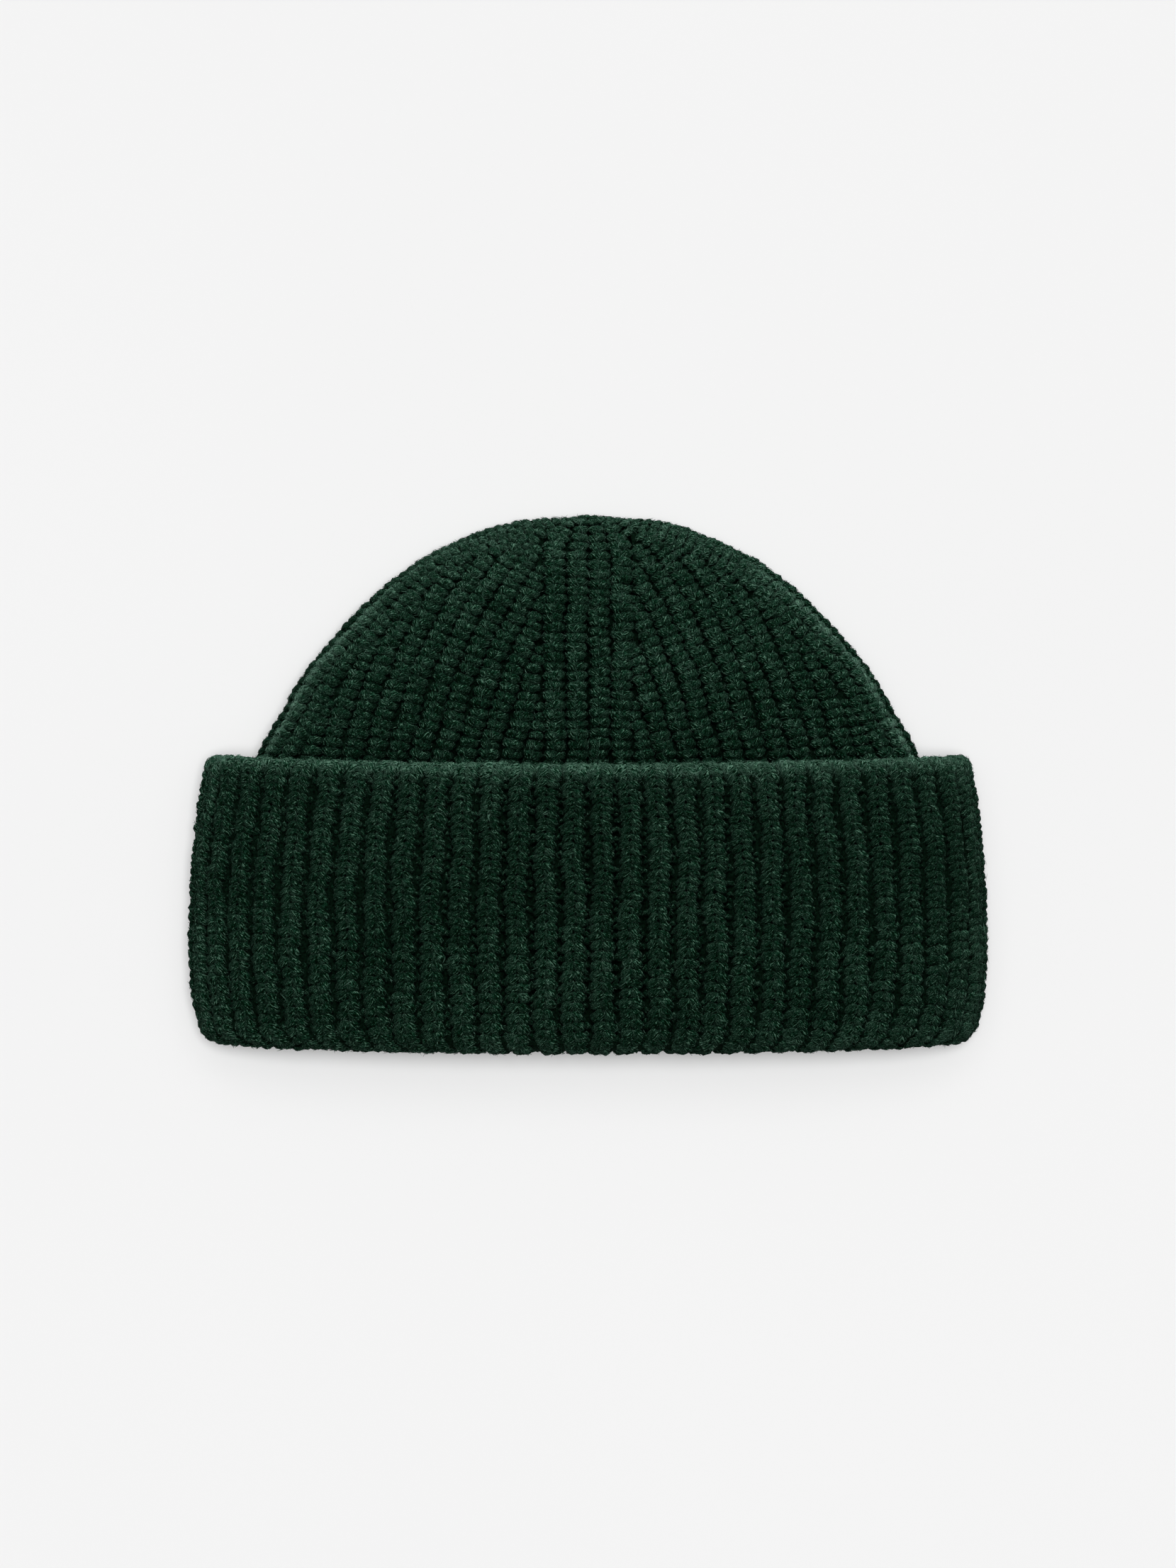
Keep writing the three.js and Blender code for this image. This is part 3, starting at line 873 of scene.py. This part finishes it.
def wool(name):
    """Yarn: streaks of fibres along it on the map Yarn, tinted by the map Tone"""
    material, nodes, links, shader = matt(name, 0.95)
    shader.inputs["Sheen Weight"].default_value = 0.02
    shader.inputs["Sheen Roughness"].default_value = 0.5
    shader.inputs["Sheen Tint"].default_value = (0.4, 0.9, 0.65, 1)
    uv = nodes.new("ShaderNodeUVMap")
    uv.uv_map = "Yarn"
    stretch = nodes.new("ShaderNodeMapping")
    stretch.inputs["Scale"].default_value = STREAK_STRETCH
    stretch.inputs["Rotation"].default_value = STREAK_SLANT
    links.new(uv.outputs["UV"], stretch.inputs["Vector"])
    streaks = noise(nodes, links, stretch.outputs["Vector"], scale=2.1, detail=4.0)
    place = nodes.new("ShaderNodeTexCoord")
    specks = noise(nodes, links, place.outputs["Object"], scale=3000.0, detail=2.0)
    fac = added(nodes, links, streaks, STREAK_CONTRAST, tone_value(nodes, links))
    fac = added(nodes, links, specks, SPECK_CONTRAST, fac)
    fac = added(nodes, links, fac, 1.0, WOOL_LEVEL)
    links.new(ramp(nodes, links, fac, WOOL_COLOURS), shader.inputs["Base Color"])
    bump = nodes.new("ShaderNodeBump")
    bump.inputs["Strength"].default_value = 1.0
    bump.inputs["Distance"].default_value = WOOL_RELIEF
    links.new(added(nodes, links, specks, SPECK_HEIGHT, streaks), bump.inputs["Height"])
    links.new(bump.outputs["Normal"], shader.inputs["Normal"])
    return material


def hair(name):
    """Loose fibres, each with its own tone"""
    material, nodes, links, shader = matt(name, 0.9)
    colours = ramp(nodes, links, tone_value(nodes, links), FIBRE_COLOURS)
    links.new(colours, shader.inputs["Base Color"])
    return material


def mottled(name, roughness, scale, colour, colour_2):
    """A matt surface in patches of two colours"""
    material, nodes, links, shader = matt(name, roughness)
    place = nodes.new("ShaderNodeTexCoord")
    fac = noise(nodes, links, place.outputs["Object"], scale, detail=2.0)
    colours = ramp(nodes, links, fac, ((0.3, colour), (0.7, colour_2)))
    links.new(colours, shader.inputs["Base Color"])
    return material


yarn = wool("wool_yarn")
loose = hair("wool_fibres")
# The shells are painted far darker than the yarn, as painted shade in the grooves and gaps between the
# stitches
shade = mottled("wool_painted_shade", 1.0, 1500.0, (0.0001, 0.001, 0.0004), (0.003, 0.0115, 0.006))

# The skins that carry stitches
pocket_places = np.arange(POCKET_START, POCKET_END, PLACE_STEP)
crown_places = np.arange(CROWN_START, CROWN_TIP, PLACE_STEP)
cuff_sheet = Sheet(cuff_sections(), 1)
pocket_sheet = Sheet([crown_section(place, CROWN_INSIDE) for place in pocket_places], 1)
crown_sheet = Sheet([crown_section(place) for place in crown_places], -1)


def rows_between(rows, start, stop, past_at, with_bumps):
    """Rows of stitches from one length to another, with their columns"""
    length, lengths = start, []
    stretch = RANDOM.normal(1, ROW_STRETCH)
    while length < stop:
        lengths.append(length)
        past = (length - past_at) / MM
        length += np.interp(past, rows["past"], rows["pitch"]) * MM * stretch
    lengths = np.array(lengths)
    past = (lengths - past_at) / MM
    columns = {name: np.interp(past, rows["past"], rows[name]) for name in rows}
    columns["pitch"] = columns["pitch"] * MM
    columns["inset"] = columns["inset"] * MM
    columns["length"] = lengths
    columns["bump"] = np.where((past > BUMPS_FROM) & with_bumps, BUMP_SHARE, 0)
    columns["gather"] = np.zeros(len(lengths))
    return columns


def cuff_rows_of(rib, with_bumps=True):
    """Rows over the free edge, down the outside and round the rim"""
    past_at = INNER_EDGE + EDGE_ROUND * math.pi / 2
    start = RANDOM.uniform(*FIRST_CUFF_ROW) * MM
    stop = cuff_sheet.known(rib)[-1] - ROW_MARGIN
    return rows_between(CUFF_ROWS, start, stop, past_at, with_bumps)


def back_rows_of(rib):
    """The same on the underside, where no bumps show"""
    return cuff_rows_of(rib, False)


def pocket_rows_of(rib):
    """Rows up the pocket from the rim, as far as one sees in"""
    return rows_between(POCKET_ROWS, ROW_MARGIN, POCKET_KNIT, 0, False)


def crown_rows_of(rib):
    """Rows up the crown, until the rib has run out"""
    start = RANDOM.uniform(*FIRST_CROWN_ROW) * MM
    tip = crown_sheet.known(rib)[-1]
    rows = rows_between(CROWN_ROWS, start, tip - TIP_MARGIN, 0, False)
    near = np.clip(1 - (tip - rows["length"]) / GATHER_LENGTH, 0, 1)
    rows["gather"] = GATHER * near**GATHER_POWER
    return rows


def dress(name, parts, material, rounded=True):
    """A piece of the hat from points, quads, triangles and maps"""
    piece = mesh_object(name, *parts[:3], material, parts[3], rounded)
    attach(piece, "root")
    return piece


def knit(name, sheet, ribs, rows_of, sides, short=0, long=0):
    """Stitches, their bumps and their loose fibres as pieces. sides: of a leg's tube. short,
    long: how many fibres of each kind."""
    legs, bumps = stitches(sheet, ribs, rows_of)
    dress(name, tubes(legs, sides), yarn)
    if bumps:
        dress(name + "_grooves", tubes(bumps, BUMP_SIDES), yarn)
        groove_fibres = fibres(bumps, short // STITCH_TO_GROOVE, **SHORT_FIBRES)
        dress(name + "_groove_fibres", groove_fibres, loose, False)
    if short:
        dress(name + "_fibres", fibres(legs, short, **SHORT_FIBRES), loose, False)
    if long:
        dress(name + "_fuzz", fibres(legs, long, **LONG_FIBRES), loose, False)


right = list(range(RIGHT_RIBS))
left = list(range(RIBS - RIGHT_RIBS, RIBS))
back = list(range(RIGHT_RIBS, RIBS - RIGHT_RIBS))

knit("cuff_front_right", cuff_sheet, right, cuff_rows_of, 6, 14000, 2600)
knit("cuff_front_left", cuff_sheet, left, cuff_rows_of, 6, 14000, 2600)
knit("cuff_back", cuff_sheet, back, back_rows_of, 4, 5000, 1500)
knit("crown_front", crown_sheet, left + right, crown_rows_of, 6, 34000, 7000)
knit("crown_back", crown_sheet, back, crown_rows_of, 4, 5000, 1500)
knit("pocket_knit", pocket_sheet, range(RIBS), pocket_rows_of, 4)


def shell(name, crests, grooves, material):
    """A closed body through sections at the crests of its ribs and in their grooves"""
    columns = TURNS[::2]
    crest = np.abs(np.sin(math.pi * columns))[:, None] ** CREST_POWER
    rings = []
    for high, low in zip(crests, grooves):
        rings.append(ring(high, columns) * crest + ring(low, columns) * (1 - crest))
    points = np.concatenate(rings)
    count, size = len(rings), len(columns)
    i, j = np.meshgrid(np.arange(count), np.arange(size), indexing="ij")
    i, j = i.ravel(), j.ravel()
    a, b = i * size + j, i * size + (j + 1) % size
    c, d = (i + 1) % count * size + (j + 1) % size, (i + 1) % count * size + j
    quads = np.stack([a, d, c, b], 1)
    return mesh_object(name, points, quads, np.empty((0, 3), int), material)


def cuff_shell():
    """The body of the cuff: inside its stitches and against the crown"""
    rows = []
    for angle in np.linspace(0, math.pi, SHELL_EDGE_CUTS):
        y = SHOULDER + (EDGE_ROUND - CREST_DEPTH) * math.sin(angle)
        depth = EDGE_ROUND + (EDGE_ROUND - CREST_DEPTH) * math.cos(angle)
        rows.append((cuff_section(y, depth), 0))
    for y in np.linspace(SHOULDER, RIM_FOLD, SHELL_FACE_CUTS)[1:]:
        rows.append((cuff_section(y, CREST_DEPTH, RIM_SPREAD), RELIEF))
    half = RIM_LIP / 2 - CREST_DEPTH
    for angle in np.linspace(0, math.pi, SHELL_RIM_CUTS)[1:]:
        y = RIM_FOLD - (RIM_FOLD - CREST_DEPTH) * math.sin(angle)
        spread = RIM_SPREAD * (1 + math.cos(angle)) / 2
        rows.append((cuff_section(y, RIM_LIP / 2 - half * math.cos(angle), spread), 0))
    rows.append((cuff_section(RIM_FOLD, CUFF_WALL - CREST_DEPTH), 0))
    crests = [section for section, relief in rows]
    return shell("cuff_shell", crests, [deeper(*row) for row in rows], shade)


def shell_share(place):
    """How deep the crown's shell lies there, as a share of its depth where the crown is high"""
    return THIN_SHARE + (1 - THIN_SHARE) * min(1, crown_section(place)["rise"] / FULL_RISE)


def crown_shell():
    """The body of the crown, from the rim fold to the tip and back inside"""
    tucked = np.arange(0, CUFF_EDGE - 1, HIDDEN_STEP)
    outside = np.arange(CUFF_EDGE - 1, CROWN_TIP + TINY, OPEN_STEP)
    inside = np.arange(CROWN_TIP, -TINY, -HIDDEN_STEP)
    crests, grooves = (
        [crown_section(place, crown_table(TUCKED_DEPTH)) for place in tucked]
        + [crown_section(place, crown_table(depth * shell_share(place))) for place in outside]
        + [crown_section(place, CROWN_INSIDE) for place in inside]
        for depth in (CREST_DEPTH, CREST_DEPTH + RELIEF)
    )
    return shell("crown_shell", crests, grooves, shade)


cuff_body = cuff_shell()
crown_body = crown_shell()
for body, node in ((cuff_body, "cuff"), (crown_body, "crown")):
    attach(body, "root")
    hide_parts(node)

# Floor, light and camera
FLOOR_WIDTH = 6
FLOOR_DROP = 0.1 * MM
bpy.ops.mesh.primitive_plane_add(size=FLOOR_WIDTH, location=(0, 0, -FLOOR_DROP))
floor = bpy.context.object
floor.name = "floor"
floor.data.materials.append(
    mottled("pale_floor", 0.9, 3.0, (0.845, 0.845, 0.845), (0.855, 0.855, 0.855))
)

scene = bpy.context.scene
scene.view_settings.view_transform = "Standard"
world = bpy.data.worlds.new("studio")
world.use_nodes = True
world.node_tree.nodes["Background"].inputs["Color"].default_value = (1, 1, 1, 1)
world.node_tree.nodes["Background"].inputs["Strength"].default_value = 0.06
scene.world = world


def sun(name, energy, spread, tilt, azimuth, lit):
    """A far softbox, tilted from straight above to an azimuth from the tip towards the right,
    in degrees, and the objects that it lights"""
    light = bpy.data.lights.new(name, "SUN")
    light.energy = energy
    light.angle = math.radians(spread)
    lamp = bpy.data.objects.new(name, light)
    lamp.rotation_euler = (math.radians(-tilt), 0, math.radians(-azimuth))
    scene.collection.objects.link(lamp)
    receivers = bpy.data.collections.new(name + "_lights")
    for thing in lit:
        receivers.objects.link(thing)
    lamp.light_linking.receiver_collection = receivers


# The pale floor has suns of its own beside those of the dark hat
pieces = [thing for thing in scene.objects if thing.type == "MESH" and thing is not floor]
sun("key", 2.35, 34, 38, 4, pieces)
sun("rim", 2.3, 14, 84, 8, pieces)
sun("front", 0.8, 30, 80, 195, pieces)
sun("fill", 0.7, 120, 0, 0, pieces)
sun("overhead", 2.47, 17, 2.5, 42, [floor])
sun("softbox", 0.45, 40, 10, 5, [floor])
sun("wash", 0.26, 60, 10, 25, [floor])

PHOTO_HEIGHT = 2212  # pixels
PIXEL = 0.2133 * MM  # of the photo, at the middle of the hat's height
camera_data = bpy.data.cameras.new("camera")
camera_data.sensor_width = 36
camera_data.lens = 150  # mm, as the sensor's width
camera_data.clip_end = 20
camera = bpy.data.objects.new("camera", camera_data)
distance = PHOTO_HEIGHT * PIXEL * camera_data.lens / camera_data.sensor_width
camera.location = (0, 0, 0.5 * HAT_HEIGHT + distance)
scene.collection.objects.link(camera)
scene.camera = camera
